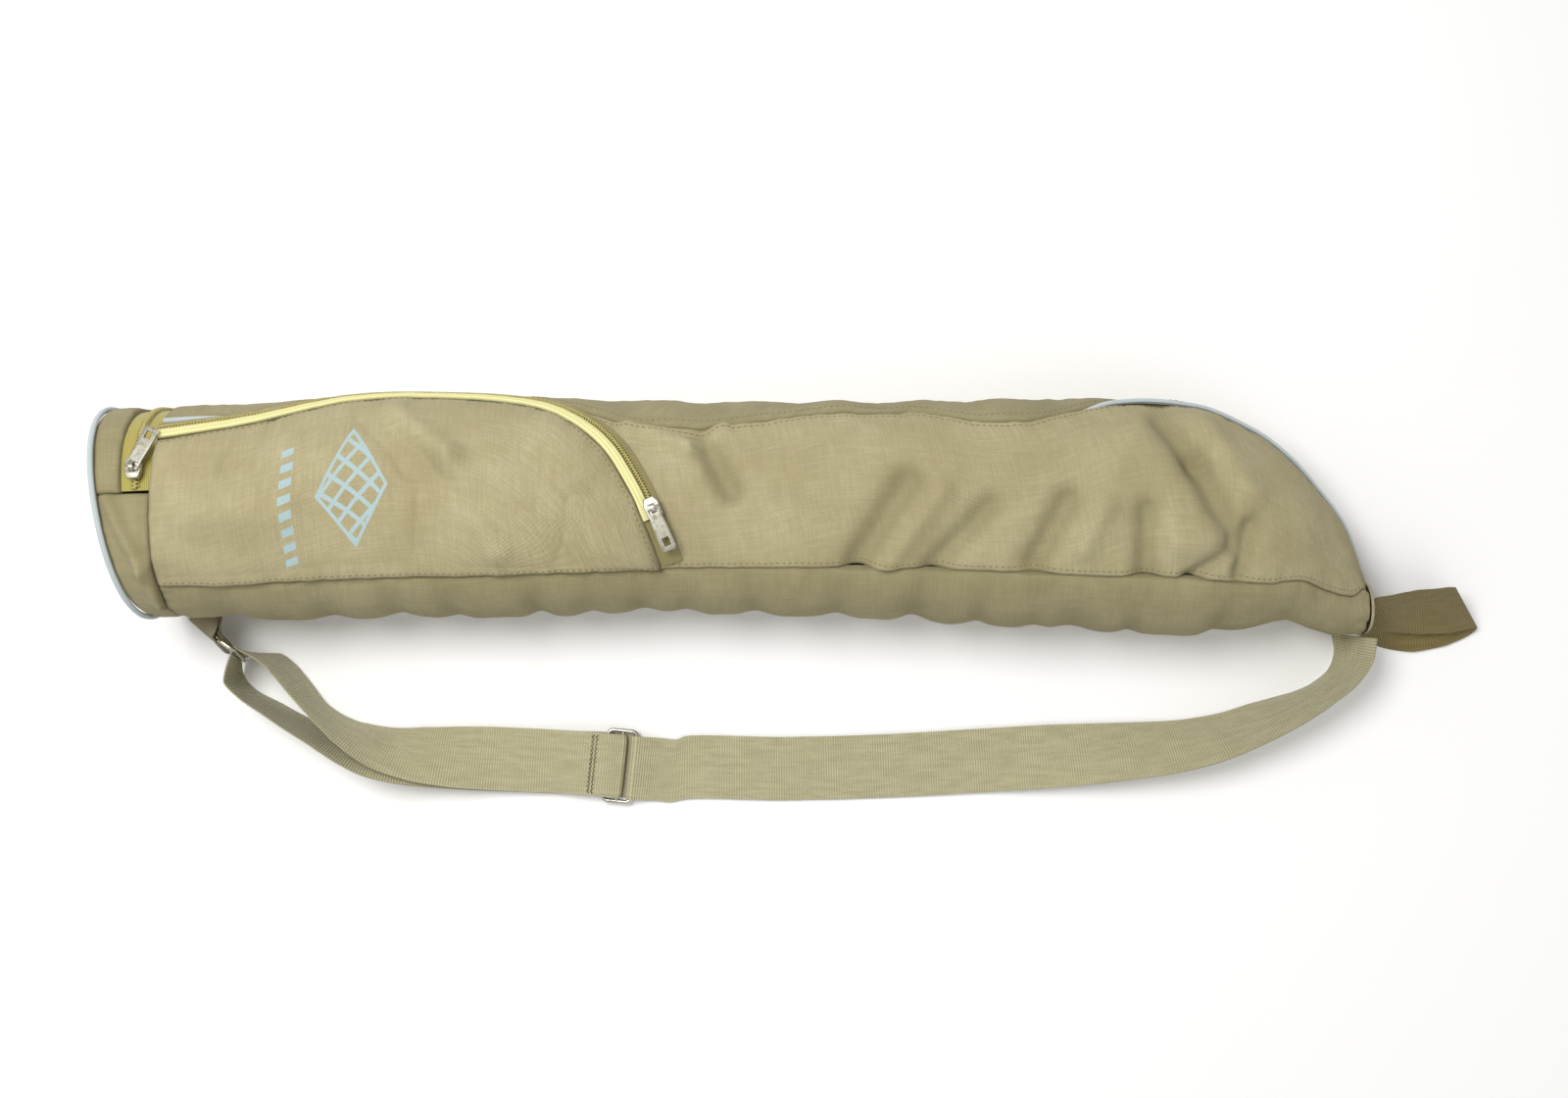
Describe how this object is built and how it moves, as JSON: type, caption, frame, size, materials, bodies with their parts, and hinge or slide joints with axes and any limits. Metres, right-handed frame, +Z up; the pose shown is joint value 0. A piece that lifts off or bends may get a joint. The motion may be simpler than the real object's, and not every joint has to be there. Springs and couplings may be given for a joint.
{
  "type": "yoga mat bag",
  "caption": "Long soft tube bag for a rolled mat, lying on its back: slanted tip, zipped pocket, end zip round the base, webbing shoulder strap with ring and slide adjuster, hang loop.",
  "frame": {"origin": "middle of the whole piece's box, on the surface that it lies on", "axes": "+Z up from the surface, +X along the bag from its round base to its slanted tip, +Y from the strap's side to the zip's side"},
  "size_m": [0.806, 0.2438, 0.116],
  "materials": {
    "canvas": "plain woven cotton canvas, matt",
    "piping": "pale blue-grey corded piping",
    "zip_tape": "woven zip tape",
    "zip_coil": "nylon coil teeth",
    "zip_trim": "folded woven trim, pale yellow",
    "webbing": "ribbed cotton webbing",
    "dark_webbing": "ribbed webbing, darker khaki",
    "wire": "nickel-plated wire",
    "zip_metal": "worn nickel-plated zinc"
  },
  "bodies": {
    "bag": {"front_panel": "canvas", "top_strip": "canvas", "zip_flap": "canvas", "near_band": "canvas", "back_panel": "canvas", "pocket_panel": "canvas", "end_band_upper": "canvas", "end_band_lower": "canvas", "base_disc": "canvas", "tip_patch": "canvas", "edge_piping": "piping", "base_piping": "piping", "main_zip_tape": "zip_tape", "pocket_zip_tape": "zip_tape", "main_zip_coil": "zip_coil", "pocket_zip_coil": "zip_coil", "pocket_zip_trim": "zip_trim", "strap": "webbing", "strap_tab": "dark_webbing", "hang_loop": "dark_webbing", "strap_ring": "wire", "strap_adjuster": "wire", "end_zip_slider": "zip_metal", "pocket_zip_slider": "zip_metal"},
    "end_puller": {"end_zip_puller": "zip_metal"},
    "pocket_puller": {"pocket_zip_puller": "zip_metal"}
  },
  "joints": [
    {"name": "end_puller_hinge", "type": "hinge", "parent": "bag", "child": "end_puller", "pos_m": [-0.37032, 0.07664, 0.10979], "axis": [0.9312, -0.3456, 0.116], "range_deg": [0, 150]},
    {"name": "pocket_puller_hinge", "type": "hinge", "parent": "bag", "child": "pocket_puller", "pos_m": [-0.08679, 0.05422, 0.10906], "axis": [-0.9203, -0.3912, -0.0054], "range_deg": [0, 150]}
  ]
}
